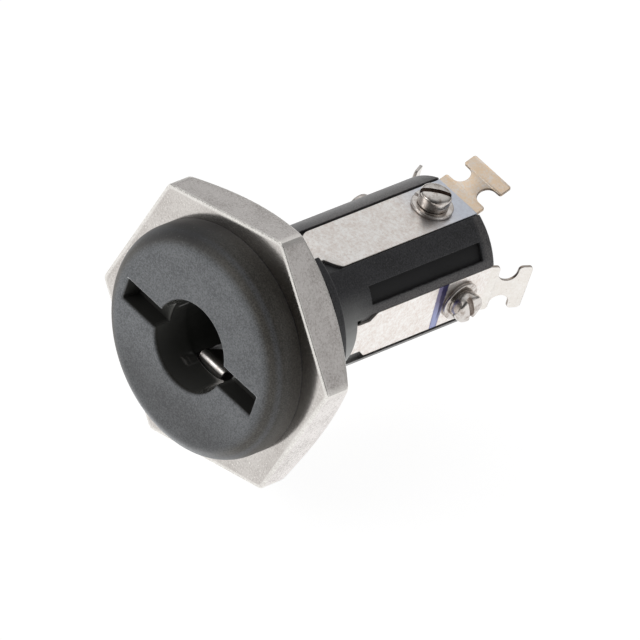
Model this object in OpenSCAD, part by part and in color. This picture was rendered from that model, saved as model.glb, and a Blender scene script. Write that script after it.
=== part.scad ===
/* [Flange] */
// Diameter of the domed flange
flange_d = 18.3; // [17.4:0.1:19.6]
// Height of the flange in front of the panel
flange_h = 2.75; // [2.3:0.05:3.4]
// Rounding of the flange's front edge
flange_edge = 1.7; // [0.6:0.05:2]
// Length of the screwdriver slot across the flange
slot_len = 14.5; // [11:0.1:15]
// Width of the screwdriver slot
slot_w = 2; // [1.4:0.05:2.6]
// Depth of the screwdriver slot
slot_depth = 1.65; // [1:0.05:1.9]

/* [Plug bore] */
// Diameter of the guide that the plug slides in
guide_d = 7.24; // [6.6:0.02:7.4]
// Length of the guide from the flange's face
guide_len = 3.3; // [2.9:0.05:3.4]
// Diameter of the wider bore behind the guide
relief_d = 7.6; // [7.5:0.02:7.8]

/* [Bushing] */
// Diameter over the crests of the panel thread
thread_d = 15.8; // [15.2:0.05:16.4]
// Length of the bushing behind the flange
bushing_len = 6.15; // [5.6:0.05:7]
// Pitch of the panel thread
thread_pitch = 1.06; // [0.8:0.02:1.3]
// Depth of the panel thread
thread_depth = 0.5; // [0.3:0.05:0.55]
// Plain land behind the last turn of the thread
land_len = 0.9; // [0.7:0.05:1.2]
// Chamfer on the rear edge of the bushing
bushing_chamfer = 0.25; // [0.1:0.05:0.4]

/* [Barrel] */
// Diameter over the ribs of the barrel
barrel_d = 11.34; // [11.1:0.02:11.8]
// Distance of the barrel's rear face from the flange's rear face
barrel_end = 24.05; // [23.2:0.05:25]
// Rounding of the ribs at the rear face
barrel_edge = 0.35; // [0.1:0.05:0.5]
// Width of the four channels for the contacts
channel_w = 4.6; // [4.5:0.05:4.9]
// Depth of the marking recess in one rib
recess_depth = 0.28; // [0.15:0.01:0.4]
// Length of the marking recess
recess_len = 11.8; // [8:0.1:12]
// Distance of the recess from the barrel's rear face
recess_back = 1.25; // [0.8:0.05:2]
// Angle where the recess starts, from the right contact towards the top one
recess_from = 30; // [29:0.5:34]
// Angle where the recess ends
recess_to = 45; // [40:0.5:50]

/* [Hex nut] */
// Width of the nut across its flats
nut_af = 20.64; // [20:0.02:22]
// Thickness of the nut
nut_t = 3.18; // [2.6:0.02:3.4]
// Turn of the nut's corners about the axis
nut_turn = 16; // [0:1:59]
// Angle of the conical chamfer on the nut's rear corners
nut_chamfer = 30; // [20:1:35]
// Edge break on the nut's front corners
nut_front_break = 0.15; // [0.05:0.05:0.3]
// Radial clearance between the nut and the thread's crests
nut_clear = 0.06; // [0.03:0.01:0.1]

/* [Contacts] */
// Distance of the contact strips' outer faces from the axis
strip_face = 5.13; // [5.1:0.01:5.2]
// Thickness of the contact strips
strip_t = 0.25; // [0.2:0.01:0.4]
// Width of the contact strips
strip_w = 4.3; // [3.8:0.05:4.4]
// Width of the spring tongues
tongue_w = 3; // [2.4:0.05:3.3]
// Distance of the springs' inner faces from the axis
spring_reach = 3.2; // [3.1:0.02:3.3]
// Inside radius of the strips' bends
bend_r = 0.25; // [0.2:0.05:0.5]
// Where the front springs dip inwards
dip_front = 8.8; // [8.4:0.1:9.4]
// Where the side springs turn inwards
dip_side = 10.05; // [9.8:0.05:11]
// Straight tongue between a front strip's shoulders and its dip
front_straight = 0.15; // [0.05:0.05:0.5]
// Straight tongue between a side strip's shoulders and its turn
side_straight = 0.95; // [0.5:0.05:1.2]
// Where the sleeve spring ends, behind the flange's rear face
sleeve_end = 1; // [0.9:0.05:1.6]
// Where the ring spring at the top ends
ring_end = 4.9; // [4.8:0.05:5.4]
// Where the ring spring at the left ends
far_ring_end = 13.6; // [13:0.1:15]
// Where the tip spring ends
tip_end = 18.4; // [16:0.1:18.8]
// Length of the lip that turns outwards on a front spring's end
lip_len = 0.45; // [0.2:0.05:0.6]

/* [Solder lugs] */
// Angle at which a lug rises from its strip
lug_angle = 22; // [10:1:26]
// Flat strip between a lock washer's edge and the lug's bend
lug_bend = 1.1; // [0.8:0.05:1.4]
// How far the lugs reach behind the barrel's rear face
lug_end = 3.15; // [2.6:0.05:3.8]
// Width of the cross bar at the lug's end
bar_w = 4.1; // [3.6:0.05:4.3]
// Length of the cross bar along the lug
bar_len = 1.05; // [0.8:0.05:1.3]
// Radius of the two wire notches
notch_r = 0.75; // [0.5:0.05:0.85]
// Width of the neck between the notches
neck_w = 1.5; // [1:0.05:1.9]
// Rounding of the lug's corners
lug_corner = 0.3; // [0.1:0.05:0.4]

/* [Contact screws] */
// Distance of the screws in front of the barrel's rear face
screw_y = 3.05; // [2.7:0.05:3.4]
// Diameter of the screw's shank
screw_d = 1.5; // [1.2:0.05:1.7]
// Length of the screw's shank under its head
screw_len = 1.5; // [1.2:0.05:1.6]
// Diameter of the screw's head
head_d = 2.4; // [2.1:0.05:3]
// Height of the screw's head
head_h = 0.9; // [0.7:0.05:1.1]
// Rounding of the head's top edge
head_edge = 0.35; // [0.1:0.05:0.4]
// Width of the slot in the head
head_slot_w = 0.45; // [0.3:0.05:0.6]
// Depth of the slot in the head
head_slot_depth = 0.45; // [0.3:0.05:0.5]
// Outside diameter of the lock washers
washer_d = 3.3; // [2.8:0.05:3.8]
// Thickness of the lock washers
washer_t = 0.35; // [0.25:0.05:0.5]
// Gap in the split lock washers
washer_gap = 0.25; // [0.15:0.05:0.4]

/* [Hidden] */
$fn = 64;
// Largest turn between two points of a bend
bend_step = 8;
// Clearance round a screw's shank
screw_clear = 0.06;
// Clearance round a moving spring
spring_clear = 0.2;
// How far a cut runs past its face, and a piece into the one that it joins
over = 0.5;

top = 0;
right = 90;
bottom = 180;
left = 270;

strip_mid = strip_face - strip_t / 2;
strip_floor = strip_face - strip_t;
spring_mid = spring_reach + strip_t / 2;
bend_mid = bend_r + strip_t / 2;
shoulder_len = (strip_w - tongue_w) / 2;
screw_at = barrel_end - screw_y;
lug_start = screw_at + washer_d / 2 + lug_bend;
lug_tip = barrel_end + lug_end;
washer_hole_d = screw_d + 2 * screw_clear;
keyway_w = tongue_w + 2 * spring_clear;
side_channel_front = dip_side - bend_mid - strip_t / 2 - spring_clear;
front_channel_start = bushing_len - land_len - thread_pitch / 2;
nut_corner_r = nut_af / 2 / cos(30);
groove_flank = thread_depth * tan(30);
groove_w = 2 * groove_flank + thread_pitch / 8;
thread_turns = floor((bushing_len - land_len) / thread_pitch);

plastic = "#33353a";
nickel = "#cdc8c0";
bronze = "#dcd3c4";
steel = "#d9d8d4";

// Turns a shape that was made about Z so that it lies along Y, front towards -Y
module along_axis() {
    rotate([-90, 0, 0]) children();
}

// Carries a piece of the top contact round the axis to another contact
module at_contact(turn) {
    rotate([0, turn, 0]) children();
}

// Extrudes a side view, drawn as distance back against distance from the axis
module across(width) {
    rotate([90, 0, 90]) linear_extrude(width, center = true) children();
}

// Half section of a round plate with a rounded edge at its far end
module rounded_half(r, h, edge) {
    square([r - edge, h]);
    square([r, h - edge]);
    translate([r - edge, h - edge]) intersection() {
        circle(edge);
        square(edge);
    }
}

// A bar with rounded corners, centred on X
module rounded_bar(w, h, corner) {
    translate([corner - w / 2, 0]) square([w - 2 * corner, h]);
    translate([-w / 2, corner]) square([w, h - 2 * corner]);
    for (x = [corner - w / 2, w / 2 - corner], y = [corner, h - corner]) {
        translate([x, y]) circle(corner);
    }
}

// Unit steps along and to the left of a direction
function ahead(dir) = [cos(dir), sin(dir)];
function aside(dir) = [-sin(dir), cos(dir)];

// Points and directions along a bent strip: each step is a straight length, a turn and its middle radius
function stations(steps, i = 0, at = [0, 0], dir = 0) = i == len(steps) ? [[at, dir]] : let (
    turn = steps[i][1],
    corner = at + steps[i][0] * ahead(dir),
    swing = sign(turn) * steps[i][2],
    centre = corner + swing * aside(dir),
    count = ceil(abs(turn) / bend_step),
    arc = [for (k = [0 : 1 : count - 1]) let (a = dir + turn * k / count) [centre - swing * aside(a), a]]
) concat([[at, dir]], arc, stations(steps, i + 1, centre - swing * aside(dir + turn), dir + turn));

// Side view of a bent strip
module bent_strip(steps) {
    line = stations(steps);
    outer = [for (s = line) s[0] + strip_t / 2 * aside(s[1])];
    inner = [for (i = [len(line) - 1 : -1 : 0]) line[i][0] - strip_t / 2 * aside(line[i][1])];
    polygon(concat(outer, inner));
}

// Moulded body: slotted flange, threaded bushing and ribbed barrel in one piece
module body() {
    color(plastic) difference() {
        union() {
            flange();
            bushing();
            barrel();
        }
        plug_passage();
        driver_slot();
        front_channel(top, ring_end);
        front_channel(bottom, sleeve_end);
        side_channel(right, tip_end);
        side_channel(left, far_ring_end);
        marking_recess();
    }
}

module flange() {
    along_axis() mirror([0, 0, 1]) rotate_extrude() {
        rounded_half(flange_d / 2, flange_h, flange_edge);
    }
}

module bushing() {
    r = thread_d / 2;
    first = bushing_len - land_len - (thread_turns - 1) * thread_pitch - groove_w;
    grooves = [for (i = [0 : thread_turns - 1]) let (y = first + i * thread_pitch) each [
        [r, y],
        [r - thread_depth, y + groove_flank],
        [r - thread_depth, y + groove_w - groove_flank],
        [r, y + groove_w]
    ]];
    outline = concat(
        [[0, -over], [r, -over]],
        grooves,
        [[r, bushing_len - bushing_chamfer], [r - bushing_chamfer, bushing_len], [0, bushing_len]]
    );
    along_axis() rotate_extrude() polygon(outline);
}

module barrel() {
    along_axis() rotate_extrude() rounded_half(barrel_d / 2, barrel_end, barrel_edge);
}

module plug_passage() {
    along_axis() {
        translate([0, 0, -flange_h - over]) cylinder(d = guide_d, h = guide_len + 2 * over);
        translate([0, 0, guide_len - flange_h]) cylinder(d = relief_d, h = barrel_end + flange_h);
    }
}

module driver_slot() {
    translate([-slot_len / 2, -flange_h - over, -slot_w / 2]) cube([slot_len, slot_depth + over, slot_w]);
}

// Open channel from the given place to the barrel's rear, with its screw hole
module channel(front) {
    length = barrel_end - front + over;
    translate([-channel_w / 2, front, strip_floor]) cube([channel_w, length, thread_d / 2]);
    translate([0, screw_at, 0]) cylinder(d = screw_d + 2 * screw_clear, h = strip_face);
}

// Way through the channel's floor into the bore for a spring tongue
module keyway(front, back, height) {
    translate([-keyway_w / 2, front, 0]) cube([keyway_w, back - front, height]);
}

// Channel for a spring that dips forward into the bore
module front_channel(turn, spring_end) {
    at_contact(turn) {
        channel(front_channel_start);
        keyway(spring_end - spring_clear, dip_front, strip_face);
    }
}

// Channel for a spring that runs rearwards under its own strip
module side_channel(turn, spring_end) {
    at_contact(turn) {
        channel(side_channel_front);
        keyway(side_channel_front, dip_side + spring_clear, strip_face);
        keyway(side_channel_front, spring_end + spring_clear, spring_mid + strip_t / 2 + spring_clear);
    }
}

module marking_recess() {
    r = barrel_d / 2;
    along_axis() rotate(-recess_to) rotate_extrude(angle = recess_to - recess_from) {
        translate([r - recess_depth, barrel_end - recess_back - recess_len]) {
            square([recess_depth + over, recess_len]);
        }
    }
}

// Hexagon nut with a conical chamfer on the rear and an edge break on the front
module hex_nut() {
    bore_r = thread_d / 2 + nut_clear;
    flat_r = nut_af / 2;
    drop = (nut_corner_r - flat_r) * tan(nut_chamfer);
    outline = [
        [bore_r + nut_front_break, 0],
        [nut_corner_r - 2 * nut_front_break, 0],
        [nut_corner_r, nut_front_break],
        [nut_corner_r, nut_t - drop],
        [flat_r, nut_t],
        [bore_r + thread_depth / 2, nut_t],
        [bore_r, nut_t - thread_depth / 2],
        [bore_r, nut_front_break]
    ];
    color(nickel) along_axis() intersection() {
        rotate(-nut_turn) cylinder(r = nut_corner_r, h = nut_t, $fn = 6);
        rotate_extrude() polygon(outline);
    }
}

// Plan of the flat strip from its shoulders to the end of its lug
module strip_plan(tongue_front, shoulder) {
    bar_front = lug_tip - bar_len;
    notch_y = bar_front - notch_r;
    notch_x = neck_w / 2 + notch_r;
    polygon([
        [-tongue_w / 2, tongue_front], [tongue_w / 2, tongue_front],
        [tongue_w / 2, shoulder - shoulder_len], [strip_w / 2, shoulder],
        [strip_w / 2, lug_start], [-strip_w / 2, lug_start],
        [-strip_w / 2, shoulder], [-tongue_w / 2, shoulder - shoulder_len]
    ]);
    translate([0, lug_start - over]) rounded_bar(strip_w, notch_y - notch_r - lug_start + over, lug_corner);
    difference() {
        translate([-notch_x, notch_y - notch_r - lug_corner]) square(2 * [notch_x, notch_r + lug_corner]);
        for (x = [-notch_x, notch_x]) {
            translate([x, notch_y]) circle(notch_r);
        }
    }
    translate([0, bar_front]) rounded_bar(bar_w, bar_len, lug_corner);
}

// Flat strip and solder lug, with the hole for the screw
module strip_and_lug(tongue_front, shoulder) {
    lug_len = (lug_tip - lug_start) / cos(lug_angle);
    difference() {
        intersection() {
            across(strip_w + bar_w) translate([tongue_front, strip_mid]) {
                bent_strip([[lug_start - tongue_front, lug_angle, bend_mid], [lug_len, 0, 0]]);
            }
            linear_extrude(2 * strip_face) strip_plan(tongue_front, shoulder);
        }
        translate([0, screw_at, 0]) cylinder(d = screw_d + 2 * screw_clear, h = 2 * strip_face);
    }
}

// Contact whose tongue dips forward into the bore and ends in a lip turned outwards
module front_contact(turn, spring_end) {
    dip = atan((strip_mid - spring_mid) / (dip_front - spring_end - bend_r));
    run = (strip_mid - spring_mid) / sin(dip) - 2 * bend_mid * tan(dip / 2) - bend_mid;
    color(bronze) at_contact(turn) {
        strip_and_lug(dip_front, dip_front + front_straight + shoulder_len);
        across(tongue_w) translate([dip_front + over, strip_mid]) mirror([1, 0]) {
            bent_strip([[over, -dip, bend_mid], [run, 90 + dip, bend_mid], [lip_len, 0, 0]]);
        }
    }
}

// Contact whose tongue turns inwards and runs rearwards in the bore under its own strip
module side_contact(turn, spring_end) {
    drop = strip_mid - spring_mid - 2 * bend_mid;
    color(bronze) at_contact(turn) {
        strip_and_lug(dip_side, dip_side + side_straight + shoulder_len);
        across(tongue_w) translate([dip_side + over, strip_mid]) mirror([1, 0]) {
            bent_strip([[over, -90, bend_mid], [drop, -90, bend_mid], [spring_end - dip_side, 0, 0]]);
        }
    }
}

// Slotted round-edged screw standing on its lock washer
module contact_screw(turn, slot_turn) {
    color(steel) at_contact(turn) translate([0, screw_at, strip_face + washer_t]) {
        difference() {
            rotate_extrude() rounded_half(head_d / 2, head_h, head_edge);
            rotate(slot_turn) translate([-head_d, -head_slot_w / 2, head_h - head_slot_depth]) {
                cube([2 * head_d, head_slot_w, head_h]);
            }
        }
        translate([0, 0, -screw_len]) cylinder(d = screw_d, h = screw_len);
    }
}

// Split spring washer under a screw's head
module lock_washer(turn, gap_turn) {
    color(nickel) at_contact(turn) translate([0, screw_at, strip_face]) difference() {
        cylinder(d = washer_d, h = washer_t);
        translate([0, 0, -over]) cylinder(d = washer_hole_d, h = washer_t + 2 * over);
        rotate(gap_turn) translate([0, -washer_gap / 2, -over]) {
            cube([washer_d, washer_gap, washer_t + 2 * over]);
        }
    }
}

module ring_contact() {
    front_contact(top, ring_end);
}

module tip_contact() {
    side_contact(right, tip_end);
}

module sleeve_contact() {
    front_contact(bottom, sleeve_end);
}

module far_ring_contact() {
    side_contact(left, far_ring_end);
}

module ring_screw() {
    contact_screw(top, 48);
}

module tip_screw() {
    contact_screw(right, 0);
}

module sleeve_screw() {
    contact_screw(bottom, 110);
}

module far_ring_screw() {
    contact_screw(left, 70);
}

module ring_lock_washer() {
    lock_washer(top, 200);
}

module tip_lock_washer() {
    lock_washer(right, 20);
}

module sleeve_lock_washer() {
    lock_washer(bottom, 300);
}

module far_ring_lock_washer() {
    lock_washer(left, 140);
}

body();
hex_nut();
ring_contact();
tip_contact();
sleeve_contact();
far_ring_contact();
ring_screw();
tip_screw();
sleeve_screw();
far_ring_screw();
ring_lock_washer();
tip_lock_washer();
sleeve_lock_washer();
far_ring_lock_washer();
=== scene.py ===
import bmesh
import bpy
import numpy as np
from mathutils import Matrix, Vector


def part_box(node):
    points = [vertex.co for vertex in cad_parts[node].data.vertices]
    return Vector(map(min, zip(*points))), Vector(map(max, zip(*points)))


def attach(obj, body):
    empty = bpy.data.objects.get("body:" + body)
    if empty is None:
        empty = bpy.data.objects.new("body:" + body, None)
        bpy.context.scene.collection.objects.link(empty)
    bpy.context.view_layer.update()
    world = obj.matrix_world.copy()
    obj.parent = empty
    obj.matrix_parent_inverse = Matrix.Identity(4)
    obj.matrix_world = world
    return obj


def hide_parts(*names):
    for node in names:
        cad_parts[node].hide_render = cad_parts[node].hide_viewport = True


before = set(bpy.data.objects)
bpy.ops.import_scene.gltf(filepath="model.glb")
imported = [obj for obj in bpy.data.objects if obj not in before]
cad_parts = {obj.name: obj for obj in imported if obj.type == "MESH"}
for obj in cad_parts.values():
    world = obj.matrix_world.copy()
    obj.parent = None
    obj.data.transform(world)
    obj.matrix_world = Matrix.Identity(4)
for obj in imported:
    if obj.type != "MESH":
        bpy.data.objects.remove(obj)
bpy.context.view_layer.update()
scene = bpy.context.scene
scene.view_settings.view_transform = "Standard"
mm = 0.001
print("frame loaded:", len(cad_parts), "nodes")


# Helpers for surfaces, all in millimetres until the mesh is made

def softLine(corners, radii, steps=6):
    # A line through the corners; each inner corner is swapped for a curve that starts and ends one radius
    # away from it on its two sides: (1-t)^2 start + 2t(1-t) corner + t^2 end, t from 0 to 1
    c = np.asarray(corners, float)
    r = np.asarray(radii, float)
    back, ahead = c[..., :-2, :] - c[..., 1:-1, :], c[..., 2:, :] - c[..., 1:-1, :]
    back = back / np.linalg.norm(back, axis=-1, keepdims=True)
    ahead = ahead / np.linalg.norm(ahead, axis=-1, keepdims=True)
    mid = c[..., 1:-1, None, :]
    t = np.linspace(0, 1, steps)[:, None]
    reach = r[:, None, None]
    curve = mid + (1 - t) ** 2 * reach * back[..., None, :] + t ** 2 * reach * ahead[..., None, :]
    curve = curve.reshape(*c.shape[:-2], -1, c.shape[-1])
    return np.concatenate([c[..., :1, :], curve, c[..., -1:, :]], axis=-2)


def joinGrid(rows, cols, wrapRows=False, wrapCols=False):
    # Quads between neighbouring points of a grid that is counted row by row
    number = np.arange(rows * cols).reshape(rows, cols)
    if wrapRows:
        number = np.vstack([number, number[:1]])
    if wrapCols:
        number = np.hstack([number, number[:, :1]])
    return np.stack([number[:-1, :-1], number[1:, :-1], number[1:, 1:], number[:-1, 1:]], -1).reshape(-1, 4)


def tubeFaces(rows, cols):
    # The grid closed round its columns, with a face over its first and its last row
    ends = [list(range(cols)), list(range(rows * cols - 1, (rows - 1) * cols - 1, -1))]
    return joinGrid(rows, cols, wrapCols=True).tolist() + ends


def makeMesh(name, points, faces):
    mesh = bpy.data.meshes.new(name)
    mesh.from_pydata((np.reshape(points, (-1, 3)) * mm).tolist(), [], faces)
    mesh.calc_loop_triangles()
    tri = np.zeros(len(mesh.loop_triangles) * 3, np.int32)
    mesh.loop_triangles.foreach_get("vertices", tri)
    a, b, c = np.reshape(points, (-1, 3))[tri.reshape(-1, 3)].transpose(1, 0, 2)
    if np.einsum("ij,ij->i", a, np.cross(b, c)).sum() < 0:  # enclosed volume is negative: inside out
        mesh.flip_normals()
    return mesh


def newObject(name, mesh):
    thing = bpy.data.objects.new(name, mesh)
    scene.collection.objects.link(thing)
    return thing


def keepResult(piece):
    # The piece's mesh becomes what its modifiers give
    graph = bpy.context.evaluated_depsgraph_get()
    mesh = bpy.data.meshes.new_from_object(piece.evaluated_get(graph))
    mesh.name = piece.name
    piece.modifiers.clear()
    piece.data = mesh


def carve(piece, cutters):
    for cutter in cutters:
        cut = piece.modifiers.new("cut", "BOOLEAN")
        cut.object = cutter
        cut.operation = "DIFFERENCE"
        cut.solver = "EXACT"
    keepResult(piece)
    for cutter in cutters:
        bpy.data.objects.remove(cutter)


def softenEdges(piece, width, angle, share, weld=0.002, flat=0.4, segments=3):
    # Bevels the edges that turn by more than the angle; share gives the part of the width from the edge's
    # middle; points nearer than weld are joined and faces within the flat angle are merged first
    soft = bmesh.new()
    soft.from_mesh(piece.data)
    bmesh.ops.remove_doubles(soft, verts=soft.verts, dist=weld * mm)
    bmesh.ops.dissolve_limit(soft, angle_limit=np.radians(flat), verts=soft.verts, edges=soft.edges)
    weight = soft.edges.layers.float.new("bevel_weight_edge")
    for edge in soft.edges:
        if len(edge.link_faces) == 2 and edge.calc_face_angle(0) > np.radians(angle):
            edge[weight] = share((edge.verts[0].co + edge.verts[1].co) / 2 / mm)
    soft.to_mesh(piece.data)
    soft.free()
    bevel = piece.modifiers.new("bevel", "BEVEL")
    bevel.limit_method = "WEIGHT"
    bevel.width = width * mm
    bevel.segments = segments
    bevel.use_clamp_overlap = False
    keepResult(piece)


def finishPiece(piece, node, body, material, smooth=32):
    piece.data.materials.clear()
    piece.data.materials.append(material)
    piece.data.shade_smooth()
    piece.data.set_sharp_from_angle(angle=np.radians(smooth))
    even = piece.modifiers.new("even", "WEIGHTED_NORMAL")  # wide faces stay flat beside their small bevels
    even.keep_sharp = True
    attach(piece, body)
    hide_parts(node)


def pieceName(node):
    first, *rest = node.split("_")
    return first + "".join(word.capitalize() for word in rest)


def turned(points, turn):
    # Points as across, back, out of a contact are carried round the axis by the turn: across x cos + out x sin
    # sideways, out x cos - across x sin upwards; 0 is the top contact, 90 the right one
    u, y, v = np.moveaxis(np.asarray(points, float), -1, 0)
    s, c = np.sin(np.radians(turn)), np.cos(np.radians(turn))
    return np.stack([u * c + v * s, y, v * c - u * s], -1)


def cornerArcs(steps=4):
    # Angles of four quarter circles, one after the other, and the side of the corner that each point belongs to
    angle = (np.linspace(0, np.pi / 2, steps) + np.arange(4)[:, None] * np.pi / 2).ravel()
    return angle, np.repeat([1, -1, -1, 1], steps), np.repeat([1, 1, -1, -1], steps)


def blockCutter(low, high, turn, spin=0, at=0.0):
    # Box from its low to its high corner, as across, back, out: low + (0 or 1 along each axis) x (high - low);
    # it is spun about its out axis and then moved back
    corner = np.array([[x, y, z] for x in (0, 1) for y in (0, 1) for z in (0, 1)], float)
    low, high = np.asarray(low, float), np.asarray(high, float)
    x, y, z = (low + corner * (high - low)).T
    s, c = np.sin(np.radians(spin)), np.cos(np.radians(spin))
    points = np.stack([x * c - y * s, at + x * s + y * c, z], -1)
    faces = [(0, 1, 3, 2), (4, 6, 7, 5), (0, 4, 5, 1), (2, 3, 7, 6), (0, 2, 6, 4), (1, 5, 7, 3)]
    return newObject("cutter", makeMesh("cutter", turned(points, turn), faces))


# Helpers for materials

def newFinish(name, metal, specular=0.5):
    material = bpy.data.materials.new(name)
    material.use_nodes = True
    tree = material.node_tree
    shader = tree.nodes["Principled BSDF"]
    shader.inputs["Metallic"].default_value = metal
    shader.inputs["Specular IOR Level"].default_value = specular
    return material, tree, shader


def put(tree, kind, out=0, props=None, **inputs):
    step = tree.nodes.new("ShaderNode" + kind)
    for key, value in (props or {}).items():
        setattr(step, key, value)
    for key, value in inputs.items():
        socket = step.inputs[int(key[1:])] if key[1:].isdigit() else step.inputs[key.replace("_", " ")]
        if isinstance(value, bpy.types.NodeSocket):
            tree.links.new(value, socket)
        else:
            socket.default_value = value
    return step.outputs[out]


def place(tree):
    return put(tree, "TexCoord", "Object")


def axesOf(tree):
    # Across, back and up, and the distance from the part's axis, which is the length of (across, 0, up)
    where = place(tree)
    axes = tree.nodes.new("ShaderNodeSeparateXYZ")
    tree.links.new(where, axes.inputs[0])
    flat = put(tree, "VectorMath", 0, {"operation": "MULTIPLY"}, i0=where, i1=(1, 0, 1))
    return (*axes.outputs, put(tree, "VectorMath", "Value", {"operation": "LENGTH"}, i0=flat))


def noise(tree, scale, detail=3.0, rough=0.5):
    return put(tree, "TexNoise", "Fac", Vector=place(tree), Scale=scale, Detail=detail, Roughness=rough)


def span(tree, value, low, high, toLow=0.0, toHigh=1.0):
    return put(tree, "MapRange", 0, {"clamp": True}, i0=value, i1=low, i2=high, i3=toLow, i4=toHigh)


def within(tree, value, low, high, toLow=0.0, toHigh=1.0):
    # The same for a place, with its bounds in millimetres
    return span(tree, value, low * mm, high * mm, toLow, toHigh)


def calc(tree, how, a, b=0.0, c=0.0):
    return put(tree, "Math", 0, {"operation": how}, i0=a, i1=b, i2=c)


def times(tree, first, *others):
    for other in others:
        first = calc(tree, "MULTIPLY", first, other)
    return first


def blend(tree, a, b, share):
    # share x a + (1 - share) x b
    return calc(tree, "ADD", calc(tree, "MULTIPLY", a, share), calc(tree, "MULTIPLY", b, 1 - share))


def mix(tree, amount, a, b):
    a, b = (v if isinstance(v, bpy.types.NodeSocket) else (*v, 1) for v in (a, b))
    return put(tree, "Mix", 2, {"data_type": "RGBA"}, i0=amount, i6=a, i7=b)


def bump(tree, height, depth):
    return put(tree, "Bump", 0, None, Height=height, Distance=depth * mm, Strength=1.0)


def feed(tree, shader, **sockets):
    # Links values to the shader's sockets of those names
    for key, value in sockets.items():
        tree.links.new(value, shader.inputs[key.replace("_", " ")])


# Camera, light and floor

view = dict(
    right=(0.65673, 0.70505, 0.26759),
    up=(-0.6054, 0.28133, 0.74454),
    toward=(0.44966, -0.65096, 0.6116),
    look=(0.0043745, 0.0058487, 0.0030089),
    away=0.9,
    lens=683.3,
)
camera = bpy.data.cameras.new("camera")
camera.lens = view["lens"]
camera.clip_end = 10
cameraObject = newObject("camera", camera)
turn = Matrix.Identity(4)
for i, side in enumerate(("right", "up", "toward")):
    turn.col[i] = (*view[side], 0)
turn.translation = Vector(view["look"]) + view["away"] * Vector(view["toward"])
cameraObject.matrix_world = turn
scene.camera = cameraObject

light = dict(
    above=0.06,
    # azimuth, elevation, strength, spread
    glows=[(122, 37, 0.62, 6), (180, 48, 0.7, 7), (22, 12, 0.9, 7), (-115, 24, 3.2, 28)],
    # pale table, throwing most light from front left: azimuth, elevation, spread
    table=0.9, tableLow=0.4, tableGlow=2.6, tableFrom=(-120, -48, 2.5),
    tableTint=0.3, tableRough=0.9, tableHalf=1500, tableBelow=0.02,
)


def softGlow(tree, ray, azimuth, elevation, spread):
    # e to the power of spread x (cosine of the angle to the glow's middle - 1)
    a, e = np.radians(azimuth), np.radians(elevation)
    toward = (np.cos(e) * np.cos(a), np.cos(e) * np.sin(a), np.sin(e))
    near = put(tree, "VectorMath", "Value", {"operation": "DOT_PRODUCT"}, i0=ray, i1=toward)
    return calc(tree, "EXPONENT", calc(tree, "MULTIPLY", calc(tree, "SUBTRACT", near, 1.0), spread))


world = bpy.data.worlds.new("studio")
world.use_nodes = True
tree = world.node_tree
ray = put(tree, "TexCoord", "Generated")
level = light["above"]
for azimuth, elevation, strength, spread in light["glows"]:
    level = calc(tree, "MULTIPLY_ADD", softGlow(tree, ray, azimuth, elevation, spread), strength, level)
level = calc(tree, "MAXIMUM", level, put(tree, "LightPath", "Is Camera Ray"))
tree.links.new(level, tree.nodes["Background"].inputs["Strength"])
tree.nodes["Background"].inputs["Color"].default_value = (1, 1, 1, 1)
scene.world = world

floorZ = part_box("hex_nut")[0].z / mm - light["tableBelow"]
corner = np.array([[-1, -1], [1, -1], [1, 1], [-1, 1]], float) * light["tableHalf"]
floor = newObject("floor", makeMesh("floor", np.column_stack([corner, np.full(4, floorZ)]), [(0, 1, 2, 3)]))
paper, tree, shader = newFinish("paper", 0.0, 0.0)
shader.inputs["Base Color"].default_value = (*[light["tableTint"]] * 3, 1)
shader.inputs["Roughness"].default_value = light["tableRough"]
shader.inputs["Emission Color"].default_value = (1, 1, 1, 1)
path = tree.nodes.new("ShaderNodeLightPath")
seen = calc(tree, "MAXIMUM", path.outputs["Is Camera Ray"], path.outputs["Is Glossy Ray"])
seen = calc(tree, "MAXIMUM", seen, path.outputs["Is Transmission Ray"])
ray = put(tree, "VectorMath", 0, {"operation": "NORMALIZE"}, i0=place(tree))
thrown = softGlow(tree, ray, *light["tableFrom"])
thrown = calc(tree, "MULTIPLY_ADD", thrown, light["tableGlow"], light["tableLow"])
glow = put(tree, "Mix", 0, {"data_type": "FLOAT"}, i0=seen, i2=thrown, i3=light["table"])
feed(tree, shader, Emission_Strength=glow)
paper.cycles.emission_sampling = "NONE"
floor.data.materials.append(paper)
print("camera, light and floor set")


# Finishes

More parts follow.
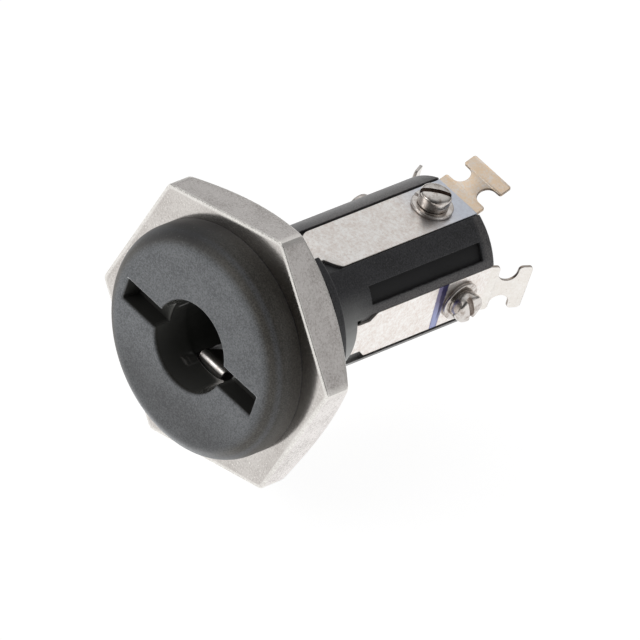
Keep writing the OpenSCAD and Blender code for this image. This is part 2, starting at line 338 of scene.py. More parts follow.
def mouldedPlastic():
    # Charcoal moulding: fine spark-eroded grain, cloudy dust, a greyer front face, a glossy bore; painted shade on
    # the front face's lower part, in the slot and in the bore, painted light on the roll's lower part, round the
    # roll, on the slot's lip, the collar and parts of the barrel
    look = dict(
        # colours
        dark=(0.024, 0.024, 0.026), light=(0.062, 0.062, 0.068),  # barrel and bushing
        warmDark=(0.036, 0.033, 0.028), warm=(0.080, 0.074, 0.064),  # flange's roll
        frontDark=(0.062, 0.066, 0.071), front=(0.124, 0.130, 0.137),  # front face
        # the front face's lower part, darker: painted shade
        lowDark=(0.030, 0.031, 0.033), low=(0.060, 0.062, 0.065),  # front face, lower part
        # foot: the paler lower part of the roll, painted light from below
        foot=(0.19, 0.195, 0.20), rim=(0.10, 0.105, 0.115), dust=(0.16, 0.155, 0.15),
        # lip is a painted highlight; slot and bore are painted shade
        lip=(0.34, 0.35, 0.36), slot=(0.034, 0.034, 0.031), bore=(0.075, 0.075, 0.07),
        # the barrel's paler grey on the next line is a painted sheen, as is the collar's colour
        worn=(0.15, 0.142, 0.14), collar=(0.36, 0.365, 0.355), recess=(0.010, 0.010, 0.011),
        # noises: scale, detail, roughness
        cloudNoise=(420, 5, 0.6), grainNoise=(8500, 2, 0.6), dustNoise=(5200, 1, 0.5),
        cloudShare=0.25, toneSpan=(0.40, 0.60), rimSpan=(0.35, 0.6, 0.2, 0.8),
        dustSpan=(0.67, 0.74, 0, 0.3), sheenSpan=(0.38, 0.6, 0.25, 1.0), grainDepth=0.012,
        # zones in millimetres: where a zone starts, where it is full, its amounts there when not 0 and 1
        flange=(0.0, -0.1), face=(-2.5, -2.72), faceLow=(-2.5, -5.5, 0, 0.8), rollLow=(-4.5, -8.0),
        # rimFront and rimRear bound a painted highlight round the roll
        rimFront=(-2.3, -2.08), rimRear=(-1.75, -1.98),
        shadeUp=(2.5, 5.0, 0, 0.8), shadeLeft=(0.5, -3.0), shadeFront=(-2.7, -2.45),
        slotReach=(7.45, 7.35), slotHalf=(0.97, 0.92), slotFront=(-2.66, -2.5),
        lipLow=(0.93, 0.97), lipHigh=(1.06, 1.0), boreWide=(3.95, 3.8), boreFront=(-2.72, -2.3),
        ribRight=(4.5, 4.8), ribLow=(3.0, 2.7), barrelRear=(22.9, 23.3), farSide=(-1.5, -2.5),
        sheenFront=(8.0, 12.0), collarFront=(6.1, 6.9), collarRear=(11.5, 9.2), collarLow=(4.2, 1.0),
        collarRight=(3.0, 4.5), recessFloor=(5.58, 5.48), recessFront=(10.7, 10.8), recessSide=(2.45, 2.5),
        # roughness, and what zones add to it
        smoother=(3, 7, 0.44, 0.36), boreRough=0.02, recessRough=0.3, collarRough=-0.16,
        cloudRough=(0.3, 0.7, 0, 0.08),
    )
    material, tree, shader = newFinish("mouldedPlastic", 0.0, 0.4)
    across, back, up, fromAxis = axesOf(tree)
    cloud = noise(tree, *look["cloudNoise"])
    grain = noise(tree, *look["grainNoise"])
    shade = blend(tree, cloud, grain, look["cloudShare"])
    tone = span(tree, shade, *look["toneSpan"])

    def zone(value, key):
        return within(tree, value, *look[key])

    def toned(low, high):
        return mix(tree, tone, look[low], look[high])

    flange, face = zone(back, "flange"), zone(back, "face")
    # the roll's lower part in the front and paler foot colours: painted light
    roll = mix(tree, zone(up, "rollLow"), toned("warmDark", "warm"), toned("front", "foot"))
    colour = mix(tree, flange, toned("dark", "light"), roll)
    # painted shade: the front face darker towards its bottom
    front = mix(tree, zone(up, "faceLow"), toned("frontDark", "front"), toned("lowDark", "low"))
    colour = mix(tree, face, colour, front)
    # a paler ring round the roll where its ridge catches light: painted highlight
    rim = times(tree, zone(back, "rimFront"), zone(back, "rimRear"), span(tree, shade, *look["rimSpan"]))
    colour = mix(tree, rim, colour, look["rim"])
    # upper left of the roll
    shaded = times(tree, zone(up, "shadeUp"), zone(across, "shadeLeft"), flange, zone(back, "shadeFront"))
    colour = mix(tree, shaded, colour, look["dark"])
    speck = span(tree, noise(tree, *look["dustNoise"]), *look["dustSpan"])
    colour = mix(tree, speck, colour, look["dust"])
    # the slot's upper lip, paler: painted highlight; then the slot and the bore, darker: painted shade
    reach = zone(fromAxis, "slotReach")
    colour = mix(tree, times(tree, zone(up, "lipLow"), zone(up, "lipHigh"), reach, face), colour, look["lip"])
    slot = times(tree, zone(calc(tree, "ABSOLUTE", up), "slotHalf"), zone(back, "slotFront"), reach)
    colour = mix(tree, slot, colour, look["slot"])
    inside = times(tree, zone(fromAxis, "boreWide"), zone(back, "boreFront"))
    colour = mix(tree, inside, colour, look["bore"])
    # paler grey: painted sheen on the rib below the recess and on the barrel's far side, where they catch light;
    # also on the barrel's rear end
    worn = times(tree, zone(across, "ribRight"), zone(up, "ribLow"))
    worn = calc(tree, "MAXIMUM", worn, zone(back, "barrelRear"))
    worn = calc(tree, "MAXIMUM", worn, zone(across, "farSide"))
    worn = times(tree, worn, zone(back, "sheenFront"), span(tree, shade, *look["sheenSpan"]))
    colour = mix(tree, worn, colour, look["worn"])
    # the barrel just behind the bushing, pale where it faces the lit floor: painted sheen
    collar = times(tree, zone(back, "collarFront"), zone(back, "collarRear"),
                   zone(up, "collarLow"), zone(across, "collarRight"))
    colour = mix(tree, collar, colour, look["collar"])
    deep = times(tree, zone(fromAxis, "recessFloor"), zone(back, "recessFront"),
                 zone(calc(tree, "MINIMUM", across, up), "recessSide"))
    colour = mix(tree, deep, colour, look["recess"])
    rough = zone(back, "smoother")  # the barrel is smoother than the flange
    rough = calc(tree, "MULTIPLY_ADD", collar, look["collarRough"], rough)
    rough = calc(tree, "MULTIPLY_ADD", deep, look["recessRough"], rough)
    rough = calc(tree, "ADD", rough, span(tree, cloud, *look["cloudRough"]))
    plain = calc(tree, "SUBTRACT", 1.0, inside)  # the bore is left polished by its core pin
    above = calc(tree, "SUBTRACT", rough, look["boreRough"])
    feed(tree, shader, Base_Color=colour,
         Roughness=calc(tree, "MULTIPLY_ADD", above, plain, look["boreRough"]),
         Normal=bump(tree, times(tree, grain, plain), look["grainDepth"]))
    return material


def nutNickel():
    # Dull nickel over a rough stamping: sandy grain, tiny bright specks, smoother flats, edges rubbed bright
    look = dict(
        face=(0.64, 0.61, 0.58), flat=(0.83, 0.79, 0.765), dull=(0.42, 0.385, 0.36), rubbed=(0.88, 0.86, 0.82),
        # noises: scale, detail, roughness
        cloudNoise=(380, 5, 0.65), grainNoise=(6000, 3, 0.65), speckNoise=(7000, 1, 0.5), bumpNoise=(4500, 1, 0.5),
        cloudShare=0.45, pitSpan=(0.45, 0.66, 0, 0.85), rubSpan=(0.4, 0.6, 0.25, 1.0),
        speckSpan=(0.62, 0.72, 0, 0.7), grainDepth=0.0015,
        # millimetres behind the front face, where the flats start
        side=(0.05, 0.2), faceRough=0.15, flatRough=0.24, rubRough=0.18,
    )
    material, tree, shader = newFinish("nutNickel", 1.0)
    cloud = noise(tree, *look["cloudNoise"])
    grain = noise(tree, *look["grainNoise"])
    back = put(tree, "SeparateXYZ", 1, None, Vector=place(tree))
    # the flats' lighter colour than the front face: painted light
    colour = mix(tree, within(tree, back, *look["side"]), look["face"], look["flat"])
    pits = span(tree, blend(tree, cloud, grain, look["cloudShare"]), *look["pitSpan"])
    colour = mix(tree, pits, colour, look["dull"])
    edge = put(tree, "Attribute", "Fac", {"attribute_name": "rub"})
    edge = times(tree, edge, span(tree, grain, *look["rubSpan"]))
    speck = span(tree, noise(tree, *look["speckNoise"]), *look["speckSpan"])
    colour = mix(tree, calc(tree, "MAXIMUM", speck, edge), colour, look["rubbed"])
    rough = within(tree, back, *look["side"], look["faceRough"], look["flatRough"])
    feed(tree, shader, Base_Color=colour,
         Roughness=calc(tree, "MULTIPLY_ADD", edge, look["rubRough"], rough),
         Normal=bump(tree, noise(tree, *look["bumpNoise"]), look["grainDepth"]))
    return material


def contactMetal(name, lugTint, blueFrom=None, ink=None, tipEnd=1.0, cutShade=(0.09, 0.062, 0.047)):
    # Tinned spring metal: warm mottling, dark pin specks, tan solder lug, painted shade on the lug's cut edges and
    # on the spring inside the body
    look = dict(
        base=(0.95, 0.93, 0.905), warm=(0.79, 0.715, 0.665), speck=(0.40, 0.33, 0.29), blue=(0.56, 0.62, 0.73),
        # the dark colour of the spring inside the body: painted shade
        insideShade=(0.16, 0.14, 0.12),
        # noises: scale, detail, roughness
        cloudNoise=(900, 6, 0.75), fineNoise=(4600, 4, 0.75), speckNoise=(4200, 5, 0.75),
        cloudShare=0.4, warmSpan=(0.42, 0.6), lugSpan=(0.44, 0.68), cutSpan=(0.35, 0.6, 0.4, 1.0),
        speckSpan=(0.60, 0.74, 0, 0.6), roughSpan=(0.3, 0.7, 0.3, 0.42), grainDepth=0.005,
        # millimetres
        lug=(23.8, 23.88), blueLength=4, blueMost=0.75, tipClear=(0.3, 0.7), insideShadeDepth=(4.75, 4.5),
    )
    material, tree, shader = newFinish(name, 1.0)
    across, along, up, fromAxis = axesOf(tree)
    cloud = noise(tree, *look["cloudNoise"])
    fine = noise(tree, *look["fineNoise"])
    tone = blend(tree, cloud, fine, look["cloudShare"])
    colour = mix(tree, span(tree, tone, *look["warmSpan"]), look["base"], look["warm"])
    if blueFrom:
        near = within(tree, along, blueFrom, blueFrom + look["blueLength"], 0, look["blueMost"])
        colour = mix(tree, near, colour, look["blue"])
    lug = within(tree, along, *look["lug"])
    colour = mix(tree, lug, colour, mix(tree, span(tree, tone, *look["lugSpan"]), lugTint, look["base"]))
    # the lug's cut edges darkened by a colour set per contact: painted shade
    cut = put(tree, "Attribute", "Fac", {"attribute_name": "cut"})
    cut = times(tree, cut, span(tree, cloud, *look["cutSpan"]), lug)
    colour = mix(tree, cut, colour, cutShade)
    speck = span(tree, noise(tree, *look["speckNoise"]), *look["speckSpan"])
    colour = mix(tree, speck, colour, look["speck"])
    # behind the tip and inside the body the spring is darkened: painted shade
    behindTip = within(tree, along, *(tipEnd + clear for clear in look["tipClear"]))
    insideShade = times(tree, behindTip, within(tree, fromAxis, *look["insideShadeDepth"]))
    colour = mix(tree, insideShade, colour, look["insideShade"])
    if ink:
        band, inked = inkBand(tree, ink, across, along, up, cloud, fine)
        colour = mix(tree, band, colour, inked)
        feed(tree, shader, Metallic=calc(tree, "MULTIPLY_ADD", band, -ink["cover"], 1.0))
    feed(tree, shader, Base_Color=colour, Roughness=span(tree, fine, *look["roughSpan"]),
         Normal=bump(tree, fine, look["grainDepth"]))
    return material


def inkBand(tree, ink, across, along, up, cloud, fine):
    # A slanted band over the outer face; off is the place across it, (along - middle) / half width, so -1 at
    # its front border and 1 at its rear one, where middle and half width change evenly with the height
    height = calc(tree, "DIVIDE", up, mm)
    middle = calc(tree, "MULTIPLY_ADD", height, ink["slant"], ink["at"])
    half = calc(tree, "MULTIPLY_ADD", height, ink["widen"], ink["half"])
    off = calc(tree, "DIVIDE", calc(tree, "SUBTRACT", calc(tree, "DIVIDE", along, mm), middle), half)
    frayed = calc(tree, "SUBTRACT", fine, 0.5)
    ragged = calc(tree, "MULTIPLY_ADD", frayed, ink["fray"], calc(tree, "ABSOLUTE", off))
    band = times(tree, span(tree, ragged, *ink["border"]), within(tree, across, *ink["outer"]))
    # pale low down, violet by its borders and higher up, a dark streak along the rear border
    violet = calc(tree, "MAXIMUM", span(tree, height, *ink["violetUp"]), span(tree, ragged, *ink["violetSide"]))
    wide = span(tree, height, *ink["streakWide"])
    fromStreak = calc(tree, "ADD", calc(tree, "SUBTRACT", off, ink["streakAt"]), calc(tree, "SUBTRACT", cloud, 0.5))
    fromStreak = calc(tree, "SUBTRACT", calc(tree, "ABSOLUTE", fromStreak), wide)
    streak = times(tree, span(tree, fromStreak, *ink["streakEdge"]), span(tree, height, *ink["streakUp"]))
    return band, mix(tree, streak, mix(tree, violet, ink["pale"], ink["mid"]), ink["deep"])


def brightNickel(name, s, k):
    # Polished nickel with brown stain in places and fine marks; the slot and the washer's foot are painted darker,
    # as shade
    look = dict(
        base=(0.68, 0.645, 0.615), stain=(0.34, 0.28, 0.24), slot=(0.13, 0.09, 0.07),
        # noises: scale, detail, roughness
        cloudNoise=(1700, 4, 0.65), markNoise=(5200, 2), stainSpan=(0.46, 0.72), roughSpan=(0.3, 0.7, 0.10, 0.24),
        # millimetres: beside the slot, above its floor, below the head's top, above the strip
        slotSide=(0.02, 0.0), slotFloor=(-0.03, -0.01), slotTop=(-0.12, -0.25), foot=(0.2, 0.02), footShade=0.12,
        markDepth=0.004,
    )
    material, tree, shader = newFinish(name, 1.0)
    where = place(tree)
    t, a = np.radians(k["turn"]), np.radians(k["slot"])
    outward, sideways = (np.sin(t), 0, np.cos(t)), (-np.sin(a) * np.cos(t), np.cos(a), np.sin(a) * np.sin(t))
    out = put(tree, "VectorMath", "Value", {"operation": "DOT_PRODUCT"}, i0=where, i1=outward)
    side = put(tree, "VectorMath", "Value", {"operation": "DOT_PRODUCT"}, i0=where, i1=sideways)
    side = calc(tree, "ABSOLUTE", calc(tree, "SUBTRACT", side, s["at"] * mm * np.cos(a)))
    top = s["face"] + s["washer"] + s["head"]

    def zone(value, start, key, *amounts):
        return within(tree, value, *(start + offset for offset in look[key]), *amounts)

    # the slot darkened, by a share set per screw: painted shade
    slot = times(tree, zone(side, s["slotW"] / 2, "slotSide"), zone(out, top - s["slotDepth"], "slotFloor"),
                 zone(out, top, "slotTop"), k["dirt"])
    cloud = noise(tree, *look["cloudNoise"])
    # brown stain from the noise, with more by the washer's foot as painted shade
    foot = zone(out, s["face"], "foot", 0, look["footShade"])
    stain = span(tree, calc(tree, "ADD", cloud, foot), *look["stainSpan"])
    colour = mix(tree, stain, look["base"], look["stain"])
    feed(tree, shader, Base_Color=mix(tree, slot, colour, look["slot"]),
         Roughness=span(tree, cloud, *look["roughSpan"]),
         Normal=bump(tree, noise(tree, *look["markNoise"]), look["markDepth"]))
    return material


plastic = mouldedPlastic()
nickel = nutNickel()
inkLook = dict(
    deep=(0.014, 0.010, 0.085), mid=(0.22, 0.195, 0.36), pale=(0.47, 0.52, 0.86), cover=0.75,
    at=18.85, slant=-0.08, half=0.475, widen=0.035, fray=0.5, border=(1.05, 0.9), outer=(5.05, 5.1),
    violetUp=(-0.9, 0.7), violetSide=(0.5, 0.9, 0, 0.8),
    streakAt=0.45, streakWide=(-0.4, 1.6, 0.22, 0.6), streakEdge=(0.12, -0.05), streakUp=(-1.5, -0.5),
)
contactFinish = {
    "ring_contact": contactMetal("contactTop", (0.93, 0.725, 0.525), blueFrom=18.5, tipEnd=4.9),
    "tip_contact": contactMetal("contactRight", (0.83, 0.79, 0.74), cutShade=(0.36, 0.30, 0.26), ink=inkLook),
    "sleeve_contact": contactMetal("contactBottom", (0.74, 0.64, 0.54)),
    "far_ring_contact": contactMetal("contactLeft", (0.80, 0.76, 0.72), cutShade=(0.55, 0.52, 0.49)),
}
print("finishes made")


# Moulded body

bodySize = dict(
    flangeR=9.15, flangeH=2.75, flangeEdge=1.7, flangeSide=0.4, flangeRear=0.03,
    guideR=3.62, guideLen=3.3, guideEdge=0.25, reliefR=3.8, reliefEdge=0.05, boreEdge=0.15,
    threadR=7.9, threadDepth=0.5, pitch=1.06, threadFrom=0.12, threadRow=0.066, runIn=(0.15, 0.5), runOut=0.35,
    crest=0.88, flank=0.76, bushing=6.15, land=0.9, rearBreak=0.25, breakEdge=0.1, collar=1.3,
    barrelR=5.67, barrelEnd=24.05, barrelEdge=0.35,
    slotLen=14.4, slotW=1.85, slotDepth=1.65, slotLip=0.2, slotDraft=0.15, slotCorner=0.12,
    channelW=4.6, channelFloor=4.88, sideChannel=9.35,  # channels for the strips
    keyway=3.4, keyFloor=0.3, keyTop=5.13, frontFold=7.6, sideFold=10.25, foldTop=3.65, springGap=0.2,
    frontSprings=((0, 4.9), (180, 1.0)), sideSprings=((90, 18.4), (270, 13.6)),  # turn, end of the spring
    recessDepth=0.28, recessFrom=11.0, recessLen=11.8, recessLow=31.0, recessHigh=46.0, recessWander=0.4,
    recessRows=90, recessCols=9, around=160, edge=0.04, edgeAngle=38, threadInside=7.2, insideR=4.6,
)


def bodyOutline(b):
    # Half section, from the guide's front edge over the flange, then the bushing's rear and the barrel to the
    # bore; the flange's roll is a quarter circle, the other edges are softened corners
    arc = np.linspace(0, np.pi / 2, 15)
    faceR, guideEnd = b["flangeR"] - b["flangeEdge"], b["guideLen"] - b["flangeH"]
    front = softLine([(b["guideR"], 0.0), (b["guideR"], -b["flangeH"]), (faceR, -b["flangeH"])], [b["guideEdge"]])
    dome = np.column_stack([b["flangeR"] - b["flangeEdge"] * (1 - np.sin(arc)),
                            -b["flangeH"] + b["flangeEdge"] * (1 - np.cos(arc))])
    under = softLine([(b["flangeR"], -b["flangeSide"]), (b["flangeR"], 0.0), (b["threadR"] - 0.02, 0.0)],
                     [b["flangeRear"]], 4)
    soft = [b["breakEdge"], b["breakEdge"], b["collar"], b["barrelEdge"], b["boreEdge"], b["reliefEdge"]]
    rear = softLine([(b["threadR"], b["bushing"] - b["land"] + 0.05), (b["threadR"], b["bushing"] - b["rearBreak"]),
                     (b["threadR"] - b["rearBreak"], b["bushing"]), (b["barrelR"], b["bushing"]),
                     (b["barrelR"], b["barrelEnd"]), (b["reliefR"], b["barrelEnd"]),
                     (b["reliefR"], guideEnd), (b["guideR"], guideEnd)], soft, 8)
    return np.vstack([front, dome[1:], under[1:]]), rear


def bodySurface(b):
    # Surface of revolution; along the thread the radius is the crest less a groove whose depth follows the
    # distance to the nearest helix turn: depth x clip of a triangle wave of (y / pitch - angle / turn)
    front, rear = bodyOutline(b)
    a = np.arange(b["around"]) / b["around"]
    threadEnd = b["bushing"] - b["land"]
    y = np.arange(b["threadFrom"], threadEnd, b["threadRow"])[:, None]
    wave = np.abs(2 * np.mod(y / b["pitch"] - a, 1) - 1)
    start, length = b["runIn"]
    fade = np.clip((y - start) / length, 0, 1) * np.clip((threadEnd - y) / b["runOut"], 0, 1)
    groove = np.clip((b["crest"] - wave) / b["flank"], 0, 1) * b["threadDepth"] * fade
    first, last = (np.repeat(part.T[:, :, None], b["around"], 2) for part in (front, rear))  # radius, height
    r = np.vstack([first[0], b["threadR"] - groove, last[0]])
    h = np.vstack([first[1], y + 0 * a, last[1]])
    points = np.stack([r * np.cos(2 * np.pi * a), h, r * np.sin(2 * np.pi * a)], -1)
    return makeMesh("body", points, joinGrid(*r.shape, wrapRows=True, wrapCols=True).tolist())


def recessCutter(b):
    # Curved block: angle and depth on a closed outline, carried along the barrel; its lower edge wanders by
    # 0.55 sin(5.1 y) sin(2.3 y + 1) + 0.5 sin(11.7 y) cos(3.1 y)
    y = np.linspace(b["recessFrom"], b["recessFrom"] + b["recessLen"], b["recessRows"])
    wander = 0.55 * np.sin(5.1 * y) * np.sin(2.3 * y + 1) + 0.5 * np.sin(11.7 * y) * np.cos(3.1 * y)
    low = np.radians(b["recessLow"] + b["recessWander"] * wander)[:, None]
    high = np.radians(b["recessHigh"])
    t = np.linspace(0, 1, b["recessCols"])
    angle = np.hstack([low + (high - low) * t, high + (low - high) * t])
    r = np.repeat([b["barrelR"] - b["recessDepth"], b["barrelR"] + 0.6], b["recessCols"])
    points = np.stack([r * np.cos(angle), y[:, None] + 0 * angle, r * np.sin(angle)], -1)
    return newObject("cutter", makeMesh("cutter", points, tubeFaces(*angle.shape)))


def slotCutter(b):
    # Rounded rectangles stacked along the depth; near the front face they widen by a quarter circle, which
    # leaves a rounded lip, and below it the ends draw in by the draft
    q, flare = np.linspace(0, np.pi / 2, 7), b["slotLip"]
    depth = np.concatenate([[b["slotDepth"], 0.9], flare * (1 - np.sin(q)), [-0.5]])
    widen = np.concatenate([[0, 0], flare * (1 - np.cos(q)), [flare]])[:, None]
    draw = -b["slotDraft"] * np.clip(depth - flare, 0, None)[:, None] / b["slotDepth"]
    c = b["slotCorner"]
    angle, right, up = cornerArcs()
    x = right * (b["slotLen"] / 2 - c + widen + draw) + c * np.cos(angle)
    z = up * (b["slotW"] / 2 - c + widen) + c * np.sin(angle)
    y = depth[:, None] - b["flangeH"] + 0 * x
    return newObject("cutter", makeMesh("cutter", np.stack([x, y, z], -1), tubeFaces(*x.shape)))


def edgeShare(p):
    # No break in the slot, which has its own lip, nor on the thread or deep inside
    b, fromAxis = bodySize, np.hypot(p.x, p.z)
    onThread = 0.05 < p.y < b["bushing"] - b["land"] + 0.1 and fromAxis > b["threadInside"]
    inSlot = p.y < b["slotDepth"] - b["flangeH"] + 0.05
    return 0.0 if onThread or inSlot or fromAxis < b["insideR"] else 1.0


def buildBody(b):
    # Cutters: the slot, a channel and keyways for each strip and its spring, the recess; those that would
    # share a front plane start 0.001 apart
    piece = newObject("mouldedBody", bodySurface(b))
    half, key, low, gap = b["channelW"] / 2, b["keyway"] / 2, b["keyFloor"], b["springGap"]
    top, end = b["threadR"] + 0.3, b["barrelEnd"] + 0.5
    frontStart, sideStart = b["bushing"] - b["land"] - b["pitch"] / 2, b["sideChannel"]
    cutters = [slotCutter(b)]
    for side, springEnd in b["frontSprings"]:
        cutters.append(blockCutter((-half, frontStart, b["channelFloor"]), (half, end, top), side))
        cutters.append(blockCutter((-key, springEnd - gap, low), (key, b["frontFold"], b["keyTop"]), side))
    for side, springEnd in b["sideSprings"]:
        cutters.append(blockCutter((-half, sideStart, b["channelFloor"]), (half, end, top), side))
        cutters.append(blockCutter((-key, sideStart + 0.001, low), (key, b["sideFold"], b["keyTop"]), side))
        cutters.append(blockCutter((-key, sideStart + 0.002, low), (key, springEnd + gap, b["foldTop"]), side))
    cutters.append(recessCutter(b))
    carve(piece, cutters)
    softenEdges(piece, b["edge"], b["edgeAngle"], edgeShare)
    finishPiece(piece, "body", "jack", plastic)


buildBody(bodySize)
print("body built")


# Hex nut

nutSize = dict(
    flat=10.32, thick=3.18, turn=16.0, chamfer=30.0, boreR=7.96, frontBreak=0.07, frontSlope=0.2, rearBreak=0.3,
    rub=0.2, cornerRub=0.16, chamferRub=0.55, perSide=36, crowd=0.75, corner=110,
)


def buildNut(n):
    # For each angle the hexagon's radius is flat / (sum of |cos(angle - flat's angle)|^corner)^(1/corner); an
    # outline of bore, front, side, conical chamfer and rear face is drawn at that radius, with softened corners
    t = np.linspace(-1, 1, n["perSide"], endpoint=False)
    side = np.radians(30) * np.sign(t) * np.abs(t) ** n["crowd"]  # the angles crowd towards the corners
    a = (np.radians(n["turn"] + 30) + np.radians(60) * np.arange(6)[:, None] + side).ravel()
    facing = np.abs(np.cos(a[:, None] - np.radians(n["turn"] + 30 + 60 * np.arange(6))))
    r = n["flat"] / ((facing ** n["corner"]).sum(1) / 2) ** (1 / n["corner"])
    rim = n["thick"] - (r - n["flat"]) * np.tan(np.radians(n["chamfer"]))  # where the chamfer meets the side
    b, f, slope, thick, back = n["boreR"], n["frontBreak"], n["frontSlope"], n["thick"], n["rearBreak"]
    line = [(b, thick / 2), (b, f), (b + f, 0), (r - slope - n["rub"], 0), (r - slope, 0),
            (r, f), (r, f + n["rub"]), (r, rim - 0.4), (r, rim - 0.1),
            (n["flat"] - 0.25, thick), (b + back, thick), (b, thick - back), (b, thick / 2)]
    corners = np.stack([np.stack(np.broadcast_arrays(across, high, r)[:2], -1) for across, high in line], 1)
    soft = [0.04, 0.04, 0.02, 0.04, 0.04, 0.02, 0.02, 0.1, 0.12, 0.06, 0.06]
    steps = 4
    outline = softLine(corners, soft, steps)[:, :-1]
    out, high = outline[..., 0], outline[..., 1]
    points = np.stack([out * np.cos(a)[:, None], high, out * np.sin(a)[:, None]], -1)
    mesh = makeMesh("hexNut", points, joinGrid(*out.shape, wrapRows=True, wrapCols=True).tolist())
    # rubbed bright: the front edge, the chamfer's start, and the side where the hexagon has its corners
    number = (np.arange(out.shape[1]) - 1) // steps + 1  # the line's corner that each outline point belongs to
    lineRub = np.where((number == 4) | (number == 5), 1, np.where(number == 8, n["chamferRub"], 0))
    cornerRub = np.clip(1 - np.abs(r - r.max()) / n["cornerRub"], 0, 1)[:, None]
    rub = np.maximum(lineRub, cornerRub * ((number >= 4) & (number <= 8)))
    mesh.attributes.new("rub", "FLOAT", "POINT").data.foreach_set("value", rub.astype(np.float32).ravel())
    finishPiece(newObject("hexNut", mesh), "hex_nut", "nut", nickel)


buildNut(nutSize)
print("nut built")


# Contacts

stripSize = dict(
    face=5.13, thick=0.25, width=4.3, edge=0.05, bend=0.375, shoulder=1.15,
    tongue=3.0, reach=3.2, lipBend=0.3, tipCorner=0.3, foldLen=0.6, lead=0.02,
    # slant of the side kind's shoulder, as shares of its growth: how far back, how much wider
    slantBack=(0, 0.1, 0.9, 1.05, 1.25), slantOut=(0, 0.05, 0.86, 0.97, 1.0),
    lugAngle=22.0, lugStart=23.75, lugTip=27.15, barW=4.1, barLen=1.05, notch=0.75, neck=1.5, corner=0.16,
)
frontKind = dict(kind="front", dip=7.6, straight=1.05, waist=2.5, waistShift=-0.35)
sideKind = dict(kind="side", dip=10.05, straight=0.95, tipW=3.0, tipShift=0.0)
contacts = dict(
    ring_contact=dict(frontKind, turn=0, springEnd=4.9, lip=0.45, tipW=3.0, tipShift=0.0),
    tip_contact=dict(sideKind, turn=90, springEnd=18.4, corner=0.3),
    sleeve_contact=dict(frontKind, turn=180, springEnd=1.0, lip=0.9, tipW=2.6, tipShift=0.16, reach=2.85),
    far_ring_contact=dict(sideKind, turn=270, springEnd=13.6),
)


def walk(start, heading, steps):
    # Points and headings of a path: each step is a straight length, then a turn in degrees on a given radius
    at, way = np.array(start, float), np.radians(heading)
    spots, ways = [at[None]], [np.array([way])]
    for length, swing, radius in steps:
        at = at + length * np.array([np.cos(way), np.sin(way)])
        spots.append(at[None])
        ways.append(np.array([way]))
        if swing:
            a = way + np.radians(swing) * np.linspace(0, 1, 2 + int(abs(swing) / 8))[1:]
            side = np.sign(swing) * radius
            centre = at + side * np.array([-np.sin(way), np.cos(way)])
            spots.append(centre - side * np.stack([-np.sin(a), np.cos(a)], 1))
            ways.append(a)
            at, way = spots[-1][-1], a[-1]
    return np.vstack(spots), np.concatenate(ways)


def springPath(s, k, strip):
    # Side view of the spring from its tip to the strip, with half width and sideways shift along it; the tip's
    # corners are quarter circles, the front kind ends in a lip turned outwards, the side kind folds back inside
    spring, c, bend, lipBend = k.get("reach", s["reach"]) + s["thick"] / 2, s["tipCorner"], s["bend"], s["lipBend"]
    q = np.linspace(0, np.pi / 2, 7)
    tipRound = [(c * step, 0, 0) for step in np.diff(np.sin(q))]
    drop = strip - spring
    if k["kind"] == "front":
        fall = np.arctan(drop / (k["dip"] - k["springEnd"] - lipBend + s["thick"] / 2))
        run = drop / np.sin(fall) - (bend + lipBend) * np.tan(fall / 2) - lipBend
        fall = np.degrees(fall)
        steps = [(s["lead"], fall, bend), (run, -90 - fall, lipBend), (k["lip"] - c, 0, 0)]
    else:
        steps = [(s["lead"], 90, bend), (drop - 2 * bend, 90, bend), (k["springEnd"] - k["dip"] - c, 0, 0)]
    spot, way = walk((k["dip"] + s["lead"], strip), 180, steps + tipRound)
    gone = np.concatenate([[0], np.cumsum(np.linalg.norm(np.diff(spot, axis=0), axis=1))])
    half = s["tongue"] / 2 + (k["tipW"] - s["tongue"]) / 2 * gone / gone[-1]
    fold = np.exp(-(gone / s["foldLen"]) ** 2)  # 1 at the fold, where the front kind is drawn in
    half -= (s["tongue"] - k.get("waist", s["tongue"])) / 2 * fold
    half[-len(q):] -= c * (1 - np.cos(q))
    shift = k["tipShift"] * gone / gone[-1] + k.get("waistShift", 0) * fold
    return spot[::-1], way[::-1] + np.pi, half[::-1], shift[::-1]


def shoulderPlan(s, k):
    # Half width and sideways shift where the tongue widens into the strip: sin(90 t) from the waist on the
    # front kind, a slant on the side kind
    start = k["dip"] + k["straight"]
    if k["kind"] == "front":
        t = np.linspace(0, 1, 13)
        ease = np.sin(np.pi / 2 * t)
        half = k["waist"] / 2 + (s["width"] - k["waist"]) / 2 * ease
        return start + s["shoulder"] * t, half, k["waistShift"] * (1 - ease)
    grow, back, out = (s["width"] - s["tongue"]) / 2, np.array(s["slantBack"]), np.array(s["slantOut"])
    return start + grow * back, s["tongue"] / 2 + grow * out, 0 * out


def lugPlan(s, k):
    # Half width from the lug's root to its end: corner, half-round notch, then the cross bar with small
    # corners; apart keeps the notch's ends off the corners beside them
    bar = s["lugTip"] - s["barLen"]
    mid, root, apart = bar - s["notch"], bar - 2 * s["notch"], 0.01
    c, full, arm = k.get("corner", s["corner"]), s["width"] / 2, s["barW"] / 2
    q, p = np.linspace(0, np.pi / 2, 7), np.linspace(-np.pi / 2, np.pi / 2, 19)
    rise, fall = c * np.sin(q), c * np.cos(q)
    y = [root - apart - c + rise, mid + s["notch"] * np.sin(p), bar + apart + c - fall, s["lugTip"] - c + rise]
    w = [full - c + fall, s["neck"] / 2 + s["notch"] * (1 - np.cos(p)), arm - c + rise, arm - c + fall]
    return np.concatenate(y), np.concatenate(w)


def barSection(half, thick, edge):
    # Rounded bar: four quarter circles about the corners that lie one edge radius inside the width and thickness
    angle, right, up = cornerArcs()
    return half[:, None] * right + edge * (np.cos(angle) - right), up * (thick / 2 - edge) + edge * np.sin(angle)


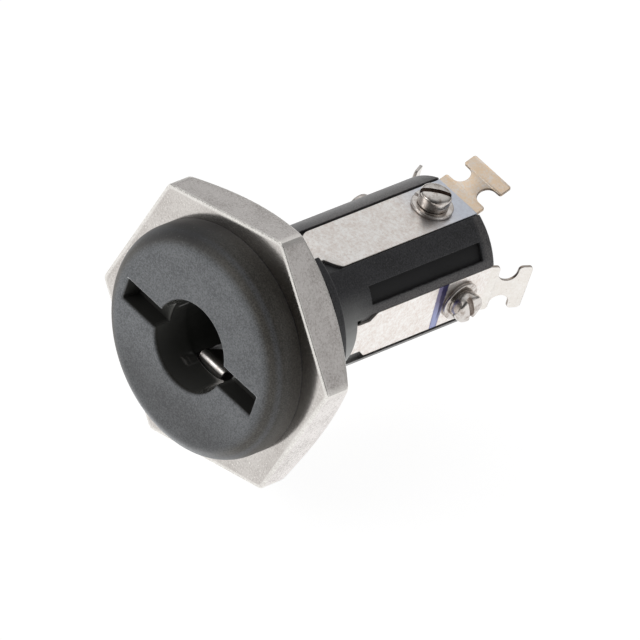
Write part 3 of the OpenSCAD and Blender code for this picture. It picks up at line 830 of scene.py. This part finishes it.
def buildContact(name, s, k):
    # A rounded bar section is carried along the side view of spring, strip and lug, as wide as the plan says
    # there; a place met twice is kept once
    strip = s["face"] - s["thick"] / 2
    spring, springWay, springHalf, shift = springPath(s, k, strip)
    flatY, flatHalf, flatShift = shoulderPlan(s, k)
    flatY = np.concatenate([flatY, [flatY[-1] + 0.3, s["lugStart"] - 0.05]])
    flatHalf = np.concatenate([flatHalf, np.full(2, s["width"] / 2)])
    bend, bendWay = walk((s["lugStart"], strip), 0, [(0, s["lugAngle"], s["bend"])])
    lugY, lugHalf = lugPlan(s, k)
    lug = np.stack([lugY, bend[-1, 1] + (lugY - bend[-1, 0]) * np.tan(bendWay[-1])], 1)
    spot = np.vstack([spring, np.stack([flatY, 0 * flatY + strip], 1), bend, lug])
    way = np.concatenate([springWay, 0 * flatY, bendWay, 0 * lugY + bendWay[-1]])[:, None]
    half = np.concatenate([springHalf, flatHalf, np.full(len(bend), s["width"] / 2), lugHalf])
    shift = np.concatenate([shift, flatShift, np.zeros(len(half) - len(shift) - len(flatShift))])
    moved = np.linalg.norm(np.diff(np.column_stack([spot, half]), axis=0), axis=1) > 1e-6
    spot, way, half, shift = (v[np.append(True, moved)] for v in (spot, way, half, shift))
    across, up = barSection(half, s["thick"], s["edge"])
    across = across + shift[:, None]
    points = np.stack([across, spot[:, :1] - np.sin(way) * up, spot[:, 1:] + np.cos(way) * up], -1)
    piece = newObject(pieceName(name), makeMesh(name, turned(points, k["turn"]), tubeFaces(*across.shape)))
    narrow = np.array([1, 0.9, 0.5, 0, 0, 0.5, 0.9, 1] * 2, np.float32)  # 1 on the section's two narrow sides
    piece.data.attributes.new("cut", "FLOAT", "POINT").data.foreach_set("value", np.tile(narrow, len(half)))
    finishPiece(piece, name, "jack", contactFinish[name], 40)


for name, shape in contacts.items():
    buildContact(name, stripSize, shape)
print("contacts built")


# Screws and lock washers

screwSize = dict(
    at=21.0, face=5.13, shankR=0.75, shank=1.5, headR=1.24, head=1.22, crownIn=0.3, crownDrop=0.1, sideDrop=0.18,
    slotW=0.45, slotDepth=0.45, around=96,
    washer=0.35, washerR=1.65, washerHole=0.81, washerEdge=0.09, washerRise=0.05, washerRows=90,
    gap=0.25, gapMore=1.3,
)
screws = dict(
    ring=dict(turn=0, slot=48, gap=200, dirt=0.65),
    tip=dict(turn=90, slot=23, gap=20, dirt=0.35),
    sleeve=dict(turn=180, slot=110, gap=300, dirt=0.5),
    far_ring=dict(turn=270, slot=70, gap=140, dirt=0.5),
)


def buildScrew(name, s, k):
    # Outline carried round the screw's axis: the head's top drops by crownDrop x share of the radius squared
    # and rolls over into the side; the slot is cut after
    base, head = s["face"] + s["washer"], s["head"]
    q = np.linspace(0.02, 1, 10)
    crown = np.column_stack([q * (s["headR"] - s["crownIn"]), head - s["crownDrop"] * q ** 2])
    side = softLine([crown[-1], (s["headR"], head - s["sideDrop"]), (s["headR"], 0.0), (s["shankR"], 0.0),
                     (s["shankR"], -s["shank"]), (0.3, -s["shank"])], [0.24, 0.08, 0.05, 0.12])
    outline = np.vstack([crown[:-1], side])
    a = np.arange(s["around"]) / s["around"] * 2 * np.pi
    r, h = outline[:, :1], outline[:, 1:] + 0 * a
    points = turned(np.stack([r * np.cos(a), s["at"] + r * np.sin(a), base + h], -1), k["turn"])
    piece = newObject(pieceName(name + "_screw"), makeMesh("screw", points, tubeFaces(*h.shape)))
    low = (-2, -s["slotW"] / 2, base + head - s["slotDepth"])
    carve(piece, [blockCutter(low, (2, s["slotW"] / 2, base + head + 1), k["turn"], k["slot"], s["at"])])
    finishPiece(piece, name + "_screw", "jack", k["finish"], 30)


def buildWasher(name, s, k):
    # A rounded bar section carried round the screw from one side of the gap to the other, rising evenly
    gap = s["gap"] / s["washerR"] / 2 * s["gapMore"]
    a = (np.radians(k["gap"]) + np.linspace(gap, 2 * np.pi - gap, s["washerRows"]))[:, None]
    inner, outer, high, mid = s["washerHole"], s["washerR"], s["washer"] - s["washerRise"], 0.15
    ring = softLine([(inner, mid), (inner, high), (outer, high), (outer, 0.0), (inner, 0.0), (inner, mid)],
                    [s["washerEdge"]] * 4, 5)[:-1]
    r, h = ring[:, 0], ring[:, 1] + np.linspace(0, s["washerRise"], s["washerRows"])[:, None]
    points = turned(np.stack([r * np.cos(a), s["at"] + r * np.sin(a), s["face"] + h], -1), k["turn"])
    piece = newObject(pieceName(name + "_washer"), makeMesh("washer", points, tubeFaces(*h.shape)))
    finishPiece(piece, name + "_lock_washer", "jack", k["finish"], 40)


for name, shape in screws.items():
    shape["finish"] = brightNickel(pieceName(name + "_nickel"), screwSize, shape)
    buildScrew(name, screwSize, shape)
    buildWasher(name, screwSize, shape)
print("screws and washers built")
